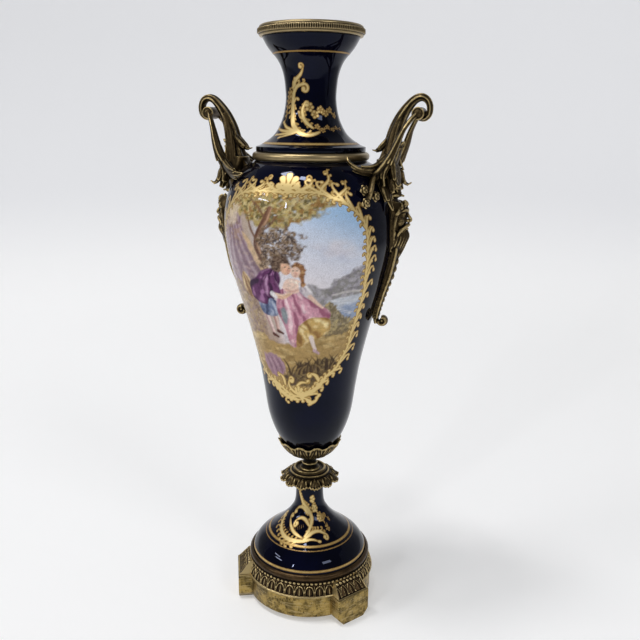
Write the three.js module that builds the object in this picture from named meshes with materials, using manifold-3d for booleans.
/**
 * Mantel urn: a tall porcelain vase in cast gilt-bronze mounts.
 *
 * From the floor up: a bronze plinth on three block feet, a porcelain trumpet
 * socle, a bronze leaf collar, a bronze stem that opens into a leaf cup, the
 * hollow porcelain body, a bronze shoulder ring, the hollow porcelain neck and
 * a bronze rim ring. Two bronze handles hang on the shoulder, the same casting
 * turned half a turn about the axis.
 *
 * Millimetres, +Z up, origin on the floor under the axis. The painted front
 * looks along -Y and the handles stand at +X and -X.
 */
import * as THREE from 'three';
import { mergeVertices } from 'three/addons/utils/BufferGeometryUtils.js';
import Module from 'manifold-3d';

// ---------------------------------------------------------------- sizes

const GAP = 0.3;              // clearance between pieces that touch
const TURNS = 28;             // facets round every turned piece
const FINE_TURNS = 36;        // facets round the plinth
const LEAF_TURNS = 36;        // facets round the collar and the cup, three to a leaf

const HEIGHT = 500;           // floor to the top of the rim ring
const BELLY = { r: 71.8, z: 345 };
const WALL = 4.6;             // porcelain wall
const THROAT_R = 20.5;        // narrowest of the neck
const MOUTH_R = 36;           // opening between the body and the neck

const PLINTH = {
  bandR: 57, bandZ: 4.5, lipR: 59, lipZ: 24.2, leafTopR: 55.6, leafTopZ: 35.2,
  beadTopZ: 38.2, ringZ: 44.2, seatR: 52.6, seatZ: 42,
};
const FOOT = {
  count: 3, turn: -36, reach: 67, inner: 44, half: 16.8, floorHalf: 11.3,
  notchZ: 6.5, faceZ: 25, leafTopR: 56.5, leafTopZ: 36.5, leafTopHalf: 13,
};
const LEAVES = { count: 18, depth: 0.9 };

const SOCLE = { baseR: 52.2, topR: 12.2, topZ: 109.5 };
const COLLAR = { dishZ: 121.4, ridgeR: 13.4, rollR: 17.1, tipR: 26.6, tipZ: 113, lobes: 12 };
const CUP = { waistR: 5.1, waistZ: 131, tipR: 28.1, tipZ: 153.2, notchZ: 150.6, tips: 12 };
const RING = { z: 396.6, top: 403.2, r: 47.8 };
const NECK = { z: 403.5, footR: 44.8, footTop: 407.4, top: 491 };
const RIM = { z: 491.3, r: 42.5, inner: 33.6 };

const BOSS = { R: 88, z: 433.6, r: 4.7, half: 7.4 };
const SCROLL = { R: 63.6, z: 266.2, r: 3.1, thick: 1.7, half: 3.6 };

// ---------------------------------------------------------------- finishes

const cobalt = { color: 0x0b0f2c, roughness: 0.08, metalness: 0 };
const antiqueGilt = { color: 0x6f5c34, roughness: 0.42, metalness: 0.9 };
const brightGilt = { color: 0x9a8350, roughness: 0.38, metalness: 0.9 };

// ---------------------------------------------------------------- solids

const wasm = await Module();
wasm.setup();

/** Signed volume of an indexed geometry; it is negative when the faces point in. */
function signedVolume(geometry) {
  const p = geometry.attributes.position;
  const index = geometry.index;
  const [a, b, c] = [new THREE.Vector3(), new THREE.Vector3(), new THREE.Vector3()];
  let sum = 0;
  for (let i = 0; i < index.count; i += 3) {
    a.fromBufferAttribute(p, index.getX(i));
    b.fromBufferAttribute(p, index.getX(i + 1));
    c.fromBufferAttribute(p, index.getX(i + 2));
    sum += a.dot(b.cross(c)) / 6;
  }
  return sum;
}

/** Merges shared vertices, drops collapsed triangles and turns the faces outwards. */
function closed(geometry) {
  const bare = geometry.clone();
  bare.deleteAttribute('normal');
  bare.deleteAttribute('uv');
  const merged = mergeVertices(bare, 1e-4);
  const index = merged.index.array;
  const keep = [];
  for (let i = 0; i < index.length; i += 3) {
    const [a, b, c] = [index[i], index[i + 1], index[i + 2]];
    if (a !== b && b !== c && c !== a) keep.push(a, b, c);
  }
  merged.setIndex(keep);
  if (signedVolume(merged) < 0) {
    for (let i = 0; i < keep.length; i += 3) [keep[i], keep[i + 1]] = [keep[i + 1], keep[i]];
    merged.setIndex(keep);
  }
  return merged;
}

const toManifold = (geometry) => {
  const solid = closed(geometry);
  return new wasm.Manifold(new wasm.Mesh({
    numProp: 3,
    vertProperties: new Float32Array(solid.attributes.position.array),
    triVerts: new Uint32Array(solid.index.array),
  }));
};

const fromManifold = (solid) => {
  const mesh = solid.getMesh();
  const geometry = new THREE.BufferGeometry();
  geometry.setAttribute('position', new THREE.BufferAttribute(mesh.vertProperties, 3));
  geometry.setIndex(new THREE.BufferAttribute(mesh.triVerts, 1));
  return geometry;
};

/** One solid out of several overlapping closed geometries. */
const fused = (geometries) => geometries.map(toManifold).reduce((all, next) => all.add(next));

/** Points [r, z] on a smooth curve through the given points. */
function smooth(points, steps) {
  const curve = new THREE.SplineCurve(points.map(([r, z]) => new THREE.Vector2(r, z)));
  return curve.getPoints(steps).map((p) => [p.x, p.y]);
}

/** A profile of [r, z] points turned about the upright axis. */
function turned(profile, segments = TURNS) {
  const points = profile.map(([r, z]) => new THREE.Vector2(Math.max(r, 0), z));
  return new THREE.LatheGeometry(points, segments).rotateX(Math.PI / 2);
}

/**
 * A turned solid whose profile changes with the angle: profileAt(angle) gives
 * the same number of [r, z] points all the way round, first and last on the axis.
 */
function carvedRound(profileAt, segments) {
  const rows = [];
  for (let i = 0; i < segments; i += 1) {
    rows.push(profileAt((2 * Math.PI * i) / segments));
  }
  const count = rows[0].length;
  const position = [];
  const index = [];
  rows.forEach((row, i) => {
    const angle = (2 * Math.PI * i) / segments;
    row.forEach(([r, z]) => position.push(r * Math.cos(angle), r * Math.sin(angle), z));
    const next = ((i + 1) % segments) * count;
    for (let k = 0; k + 1 < count; k += 1) {
      const here = i * count + k;
      index.push(here, next + k, next + k + 1, here, next + k + 1, here + 1);
    }
  });
  const geometry = new THREE.BufferGeometry();
  geometry.setAttribute('position', new THREE.Float32BufferAttribute(position, 3));
  geometry.setIndex(index);
  return geometry;
}

/**
 * A solid carried along a spine. Each knot is [R, t, z, thick, wide]: a place and
 * the section's two half sizes there. "side" is the direction of the width.
 */
function swept(knots, { side, steps, sides = 8, flutes = 0, fluteDepth = 0 }) {
  const spine = new THREE.CatmullRomCurve3(knots.map(([R, t, z]) => new THREE.Vector3(R, t, z)));
  const lerp = (u, field) => {
    const at = Math.min(u * (knots.length - 1), knots.length - 1 - 1e-9);
    const k = Math.floor(at);
    return THREE.MathUtils.lerp(knots[k][field], knots[k + 1][field], at - k);
  };
  const position = [];
  const index = [];
  for (let i = 0; i <= steps; i += 1) {
    const u = i / steps;
    const centre = spine.getPoint(u);
    const along = spine.getTangent(u);
    const wide = new THREE.Vector3(...side).addScaledVector(along, -along.dot(new THREE.Vector3(...side)));
    wide.normalize();
    const thick = new THREE.Vector3().crossVectors(along, wide);
    for (let k = 0; k < sides; k += 1) {
      const angle = (2 * Math.PI * k) / sides;
      const scale = 1 - fluteDepth * (0.5 - 0.5 * Math.cos(flutes * angle));
      const point = centre.clone()
        .addScaledVector(wide, lerp(u, 4) * scale * Math.cos(angle))
        .addScaledVector(thick, lerp(u, 3) * scale * Math.sin(angle));
      position.push(...point);
    }
  }
  const at = (i, k) => i * sides + (k % sides);
  for (let i = 0; i < steps; i += 1) {
    for (let k = 0; k < sides; k += 1) {
      index.push(at(i, k), at(i + 1, k), at(i + 1, k + 1), at(i, k), at(i + 1, k + 1), at(i, k + 1));
    }
  }
  for (let k = 1; k + 1 < sides; k += 1) {
    index.push(at(0, 0), at(0, k), at(0, k + 1));
    index.push(at(steps, 0), at(steps, k + 1), at(steps, k));
  }
  const geometry = new THREE.BufferGeometry();
  geometry.setAttribute('position', new THREE.Float32BufferAttribute(position, 3));
  geometry.setIndex(index);
  return geometry;
}

// ---------------------------------------------------------------- porcelain

const bodyOuter = () => [
  [0, 139], ...smooth([[9, 139.6], [15.5, 141.8], [20.4, 145.6], [24.4, 150.4]], 3),
  [31, 162], [36.8, 180], [40.6, 205], [44.2, 226], [50.3, 252], [56.8, 275], [63.6, 298],
  [69.4, 322], [BELLY.r, BELLY.z], [70, 364], [64.4, 378.6], [55.4, 390.4], [46.4, 396.3],
];

const bodyInner = () => [
  [MOUTH_R, 391.8],
  ...smooth([[50.5, 387.8], [63.6, 366.5], [BELLY.r - WALL, BELLY.z], [55.8, 289.5], [37.8, 216],
    [30.4, 175], [20, 157]], 5),
  [0, 153.6],
];

/** Hollow body, open at the shoulder. */
const body = () => turned([...bodyOuter(), [MOUTH_R, 396.3], ...bodyInner()]);

/** The body's outside, grown by the clearance, that the handles are cut with. */
const bodyCutter = () => {
  const grown = bodyOuter().slice(1).map(([r, z]) => [r + GAP * 1.15, z + (z > BELLY.z ? GAP : 0)]);
  return turned([[0, grown[0][1]], ...grown, [0, grown.at(-1)[1]]]);
};

/** Hollow neck: a stepped foot, a waisted throat and a flared lip, open at both ends. */
function neck() {
  const outer = smooth([[38.8, 410], [29.4, 417.4], [23.2, 429], [THROAT_R, 442], [THROAT_R + 0.2, 453],
    [22.4, 464], [26.4, 473.5], [34.2, 483], [38.9, NECK.top]], 8);
  const inner = smooth([[34.6, NECK.top], [29.4, 483], [21.6, 473], [17.6, 463], [16, 448], [17.6, 433],
    [25.2, 417], [MOUTH_R, 408]], 4);
  const foot = [[MOUTH_R, NECK.z], [NECK.footR, NECK.z], [NECK.footR, NECK.footTop]];
  return turned([...foot, ...outer, ...inner, [MOUTH_R, NECK.z]]);
}

/** Solid trumpet socle: a rounded skirt that sweeps up to a slim neck. */
function socle() {
  const skirt = smooth([[SOCLE.baseR, 43.6], [50.6, 48.6], [46.6, 54.3], [40, 60], [33, 65.4], [24.4, 72.8],
    [17.5, 81], [13.2, 90.5], [SOCLE.topR, SOCLE.topZ]], 8);
  return turned([[0, PLINTH.seatZ + GAP], [SOCLE.baseR - 1, PLINTH.seatZ + GAP], ...skirt, [0, SOCLE.topZ]]);
}

// ---------------------------------------------------------------- turned and carved bronze

/** The plinth's round part: plain band, lip, leaf row, bead row, half-round ring and seat. */
function plinthDrum() {
  const leafStep = (2 * Math.PI) / LEAVES.count;
  return carvedRound((angle) => {
    const wave = Math.abs(Math.sin(angle / leafStep * Math.PI));
    const sunk = LEAVES.depth * (1 - wave);
    return [
      [0, PLINTH.bandZ], [PLINTH.bandR, PLINTH.bandZ],
      [PLINTH.bandR, PLINTH.lipZ - 0.8], [PLINTH.lipR, PLINTH.lipZ], [PLINTH.lipR - 0.4, PLINTH.lipZ + 2],
      [57.8 - sunk, 27.4], [PLINTH.leafTopR - sunk, PLINTH.leafTopZ],
      [PLINTH.leafTopR - 0.6, PLINTH.beadTopZ], [54.7, 40.9], [53.2, PLINTH.ringZ],
      [PLINTH.seatR, PLINTH.seatZ], [0, PLINTH.seatZ],
    ];
  }, FINE_TURNS);
}

/** One block foot, looking along +X: a bracket-cut block under a sloping leaf panel. */
function blockFoot() {
  const outline = new THREE.Shape();
  outline.moveTo(-FOOT.floorHalf, 0);
  outline.lineTo(FOOT.floorHalf, 0);
  outline.lineTo(FOOT.floorHalf + 1, 2.6);
  outline.lineTo(FOOT.half - 1.4, 4.4);
  outline.lineTo(FOOT.half, FOOT.notchZ);
  outline.lineTo(FOOT.half, FOOT.faceZ);
  outline.lineTo(-FOOT.half, FOOT.faceZ);
  outline.lineTo(-FOOT.half, FOOT.notchZ);
  outline.lineTo(-FOOT.half + 1.4, 4.4);
  outline.lineTo(-FOOT.floorHalf - 1, 2.6);
  const block = new THREE.ExtrudeGeometry(outline, { depth: FOOT.reach - FOOT.inner, bevelEnabled: false });
  block.rotateX(Math.PI / 2).rotateZ(Math.PI / 2).translate(FOOT.inner, 0, 0);

  const [low, high] = [FOOT.faceZ - 1, FOOT.leafTopZ];
  const [lowReach, lowHalf] = [FOOT.reach - 1.4, FOOT.half - 0.8];
  const panel = new THREE.BufferGeometry();
  panel.setAttribute('position', new THREE.Float32BufferAttribute([
    [FOOT.inner, -lowHalf, low], [lowReach, -lowHalf, low],
    [lowReach, lowHalf, low], [FOOT.inner, lowHalf, low],
    [FOOT.inner, -FOOT.leafTopHalf, high], [FOOT.leafTopR, -FOOT.leafTopHalf, high],
    [FOOT.leafTopR, FOOT.leafTopHalf, high], [FOOT.inner, FOOT.leafTopHalf, high],
  ].flat(), 3));
  panel.setIndex([0, 2, 1, 0, 3, 2, 4, 5, 6, 4, 6, 7, 0, 1, 5, 0, 5, 4, 1, 2, 6, 1, 6, 5,
    2, 3, 7, 2, 7, 6, 3, 0, 4, 3, 4, 7]);
  return [block, panel];
}

/** Plinth: the drum fused with three block feet. */
function plinth() {
  const pieces = [plinthDrum()];
  for (let i = 0; i < FOOT.count; i += 1) {
    const angle = THREE.MathUtils.degToRad(FOOT.turn + (360 * i) / FOOT.count);
    blockFoot().forEach((piece) => pieces.push(piece.rotateZ(angle)));
  }
  const above = PLINTH.ringZ + 10;
  const seat = turned([
    [0, PLINTH.seatZ], [PLINTH.seatR, PLINTH.seatZ], [PLINTH.seatR, above], [0, above],
  ], FINE_TURNS);
  return fromManifold(fused(pieces).subtract(toManifold(seat)));
}

/** Collar: a dished top with two ridges, and a skirt of drooping leaf lobes. */
function collar() {
  return carvedRound((angle) => {
    const lobe = Math.abs(Math.cos((COLLAR.lobes / 2) * angle));
    const reach = COLLAR.tipR - 3.2 * (1 - lobe);
    const droop = COLLAR.tipZ - 2.4 * lobe;
    const vein = 0.9 * lobe;
    return [
      [0, SOCLE.topZ + GAP], [SOCLE.topR + 1.2, SOCLE.topZ + GAP], [SOCLE.topR + 3, 112],
      [reach - 2, droop - 0.6], [reach, droop + 1.2],
      [21.5, 118.4 + vein], [COLLAR.rollR + 1.2, 118.6], [COLLAR.rollR, 121],
      [COLLAR.ridgeR, 123.4], [10.4, COLLAR.dishZ], [0, COLLAR.dishZ],
    ];
  }, LEAF_TURNS);
}

/** Stem and cup: a flared foot, a slim waist and a cup whose edge is a crown of leaf tips. */
function stemCup() {
  const bowl = (r) => 139 - GAP + Math.max(0, r - 9) ** 2 * 0.047;
  return carvedRound((angle) => {
    const tip = Math.abs(Math.cos((CUP.tips / 2) * angle));
    const edge = CUP.notchZ + (CUP.tipZ - CUP.notchZ) * tip;
    const edgeR = CUP.tipR - 1.1 * (1 - tip);
    const swell = 0.7 * tip;
    return [
      [0, COLLAR.dishZ + GAP], [8.6, COLLAR.dishZ + GAP], [6.6, 124.6], [CUP.waistR, CUP.waistZ],
      [12.4 + swell, 135], [21 + swell, 140.6], [26 + swell * 0.6, 146.8],
      [edgeR, edge], [edgeR - 1.1, edge - 0.2],
      [15.6, bowl(15.6) - 0.8], [9, 139 - GAP], [0, 139 - GAP],
    ];
  }, LEAF_TURNS);
}

/** Half-round bronze ring between the body and the neck. */
const shoulderRing = () => turned([
  [MOUTH_R + 1, RING.z], [45.8, RING.z], [RING.r, 398.4], [RING.r, 401.4], [45.8, RING.top],
  [MOUTH_R + 1, RING.top], [MOUTH_R + 1, RING.z],
]);

/** Rim ring: a rounded moulding with an upright edge band. */
const rimRing = () => turned([
  [RIM.inner + 1.2, RIM.z], [40.6, RIM.z], [RIM.r, 493.6], [RIM.r, 496.8], [40.4, 499.4], [38, HEIGHT],
  [RIM.inner, 497.6], [RIM.inner + 1.2, RIM.z],
]);

// ---------------------------------------------------------------- handles

const ALONG_T = [0, 1, 0];

/** Main stem: a fluted stalk that rises off the shoulder and rolls over into a volute. */
const handleStem = () => swept([
  [57, 0, 384, 8, 13], [63, 0, 393, 8, 12], [66.6, 0, 403, 7.4, 10], [68.4, 0, 413, 6.8, 8.4],
  [70.8, 0, 423, 5.8, 7], [74.8, 0, 432, 4.8, 6.2], [80, 0, 439.6, 3.9, 5.6], [85, 0, 444.4, 3.4, 5.2],
  [90, 0, 445.8, 3.2, 5], [94.2, 0, 443.4, 3, 4.9], [96.2, 0, 438.6, 2.8, 4.7], [95.6, 0, 433, 2.6, 4.5],
  [92.4, 0, 429.8, 2.3, 4.3], [88.4, 0, 429.6, 1.6, 4],
], { side: ALONG_T, steps: 15, sides: 8, flutes: 4, fluteDepth: 0.14 });

/** Round boss that fills the volute's eye. */
const handleBoss = () => new THREE.LatheGeometry([[0, -BOSS.half],
  [BOSS.r, -BOSS.half + 2.4], [BOSS.r, BOSS.half - 2.4], [0, BOSS.half]]
  .map(([r, t]) => new THREE.Vector2(r, t)), 7).translate(BOSS.R, 0, BOSS.z);

/** Side strut from the boss down to the leaves; "hand" is -1 or +1 across the stem. */
const handleStrut = (hand) => swept([
  [87.4, 5.6 * hand, 433.4, 2.4, 2.6], [83.4, 12.4 * hand, 428.6, 1.9, 2.1], [78.6, 18.4 * hand, 420, 2, 2.3],
  [74.4, 22.4 * hand, 410, 2.3, 3], [70, 24 * hand, 400, 2.8, 4.4], [64, 22.6 * hand, 390.4, 3.6, 6],
  [58, 19 * hand, 383, 3, 6],
], { side: [0.3, 0.6 * hand, 0.7], steps: 6, sides: 4 });

/** Curled leaf whose tip turns out below the strut's foot, on the ribbon's side. */
const leafCurl = () => swept([
  [64, 17, 392, 3, 6], [70.6, 19.4, 388, 2.2, 5], [73, 20.4, 381.6, 1.8, 4.2],
  [76.6, 21, 377.6, 1.5, 3.2], [80.4, 21.4, 379.4, 1.2, 1.8],
], { side: [-0.3, 1, 0], steps: 4, sides: 4 });

/** Pointed leaf tip on the neck's side of the stem. */
const neckLeaf = () => swept([
  [66, 0, 414, 3, 6], [60.4, 0, 409, 2.4, 5.2], [55.6, 0, 405.2, 1.7, 4], [51.4, 0, 405.4, 0.8, 1.6],
], { side: ALONG_T, steps: 3, sides: 4 });

/** Tendril that runs along the shoulder and curls up beside the ring. */
const shoulderTendril = () => swept([
  [62, -12, 392, 4, 5], [57.4, -20, 390.6, 3, 4], [52.6, -28, 390.8, 2.3, 3.2], [46.8, -33.6, 392.8, 2, 2.6],
  [41.6, -35.6, 397.4, 1.7, 2], [39.6, -33.8, 401.6, 1.1, 1.2],
], { side: [0.2, -0.2, 1], steps: 6, sides: 4 });

/** Ribbon leaf that crosses the shoulder on the other side of the stem. */
const ribbonLeaf = () => swept([
  [69, 20, 395, 2.6, 4.4], [62.6, 27.6, 390.6, 2.4, 5], [54.6, 36.6, 387.2, 2.2, 4.6],
  [46.4, 43.6, 386.4, 2, 3.4], [41, 47.4, 387.4, 1.4, 1.8],
], { side: [0.3, 0.3, 1], steps: 5, sides: 4 });

/** Pointed leaf that hangs over the shoulder, on the roses' side. */
const hangingLeaf = () => swept([
  [60, -14, 389, 3.4, 6], [65.6, -17.4, 379, 2.6, 6.6], [70, -18.4, 368.6, 2.2, 5],
  [73.4, -18, 359.4, 1.4, 1.8],
], { side: [-0.3, -1, 0], steps: 4, sides: 4 });

/** One rose of the cluster, a domed bud facing away from the body. */
function rose(R, t, z, radius) {
  const bud = new THREE.LatheGeometry([[0, -2.6], [radius, -0.6], [radius * 0.7, 2.2],
    [0, 1.6]].map(([r, h]) => new THREE.Vector2(r, h)), 5);
  const outward = new THREE.Vector3(R, t, 34).normalize();
  bud.applyQuaternion(new THREE.Quaternion().setFromUnitVectors(new THREE.Vector3(0, 1, 0), outward));
  return bud.translate(R, t, z);
}

const roses = () => [
  rose(55.4, -41.4, 377.2, 4.8), rose(63, -35.6, 372.2, 4.8), rose(57.6, -44, 367.6, 4.8),
  swept([
    [60, -16, 390, 2, 3], [59, -28, 384, 1.6, 2.4], [59.6, -38, 375.4, 1.8, 2.6],
    [58, -43.4, 368.4, 1.8, 2.6],
  ], { side: [0.6, 0.3, 0.7], steps: 4, sides: 4 }),
];

/**
 * The mount's lower half: trunk, knot, a calm bearded mask under curled hair, and
 * a strap of leaf that tapers down the body. Its face is modelled by its section:
 * width and depth follow the height.
 */
function maskAndStrap() {
  const strap = swept([
    [62.6, 0, 399, 7, 11], [63.4, 0, 389, 8, 15], [65, 0, 379, 6.8, 13], [68, 0, 371.6, 4.8, 8],
    [71, 0, 364.6, 6.6, 11.6], [74.4, 0, 355, 9, 15], [75.4, 0, 346, 9, 15.4], [75, 0, 337.6, 8.2, 14.6],
    [73.4, 0, 328.6, 6.6, 12.4], [71.4, 0, 319, 5, 10], [67.6, 0, 306, 4, 8], [63.6, 0, 293, 3.4, 6.4],
    [60.2, 0, 281, 3, 5.2], [58, 0, 271, 2.6, 4.2], [58.6, 0, 263.4, 2, 3.8],
  ], { side: ALONG_T, steps: 13, sides: 8 });
  const nose = swept([[82.6, 0, 357, 1.4, 1.6], [85.4, 0, 350.6, 2, 2.6], [82.4, 0, 347.4, 1.4, 2]],
    { side: ALONG_T, steps: 2, sides: 4 });
  const beard = swept([
    [82.6, 0, 344, 2.6, 5.4], [83, 0, 336, 2.6, 5.6], [79.4, 0, 326, 2, 3.6], [75, 0, 317, 1, 1.4],
  ], { side: ALONG_T, steps: 4, sides: 4 });
  const locks = [-1, 1].map((hand) => swept([
    [72.6, 11 * hand, 366.6, 2.4, 3.4], [76.4, 15.4 * hand, 357, 3, 4], [75.4, 16.4 * hand, 345, 2.8, 3.6],
    [74, 14.4 * hand, 334, 2.2, 2.8], [72.6, 11.4 * hand, 326, 1.2, 1.6],
  ], { side: [0.5, 1 * hand, 0], steps: 4, sides: 4 }));
  return [strap, nose, beard, ...locks];
}

/** Scroll that turns outwards at the strap's lower end. */
function endScroll() {
  const knots = [];
  for (let i = 0; i <= 8; i += 1) {
    const angle = Math.PI * (1.08 + (1.5 * i) / 8);
    const r = SCROLL.r * (1.12 - 0.035 * i);
    const [R, z] = [SCROLL.R + r * Math.cos(angle), SCROLL.z + r * Math.sin(angle)];
    knots.push([R, 0, z, SCROLL.thick, SCROLL.half]);
  }
  return swept(knots, { side: ALONG_T, steps: 7, sides: 4 });
}

/** One handle at +X, cut clear of the body. */
function handle() {
  const pieces = [
    handleStem(), handleBoss(), handleStrut(-1), handleStrut(1), neckLeaf(), leafCurl(), hangingLeaf(),
    shoulderTendril(), ribbonLeaf(), ...roses(), ...maskAndStrap(), endScroll(),
  ];
  const ringCutter = turned([[0, 396], [48.2, 396], [48.2, 408], [0, 408]]);
  const solid = fused(pieces).subtract(toManifold(bodyCutter())).subtract(toManifold(ringCutter));
  return fromManifold(solid);
}

// ---------------------------------------------------------------- assembly

const urn = new THREE.Group();

function add(name, geometry, finish, turn = 0) {
  const mesh = new THREE.Mesh(closed(geometry), new THREE.MeshStandardMaterial(finish));
  mesh.name = name;
  mesh.rotation.z = turn;
  urn.add(mesh);
}

const casting = handle();
add('plinth', plinth(), brightGilt);
add('socle', socle(), cobalt);
add('collar', collar(), antiqueGilt);
add('stem_cup', stemCup(), antiqueGilt);
add('body', body(), cobalt);
add('shoulder_ring', shoulderRing(), brightGilt);
add('neck', neck(), cobalt);
add('rim_ring', rimRing(), brightGilt);
add('handle_right', casting, antiqueGilt);
add('handle_left', casting, antiqueGilt, Math.PI);

export default urn;
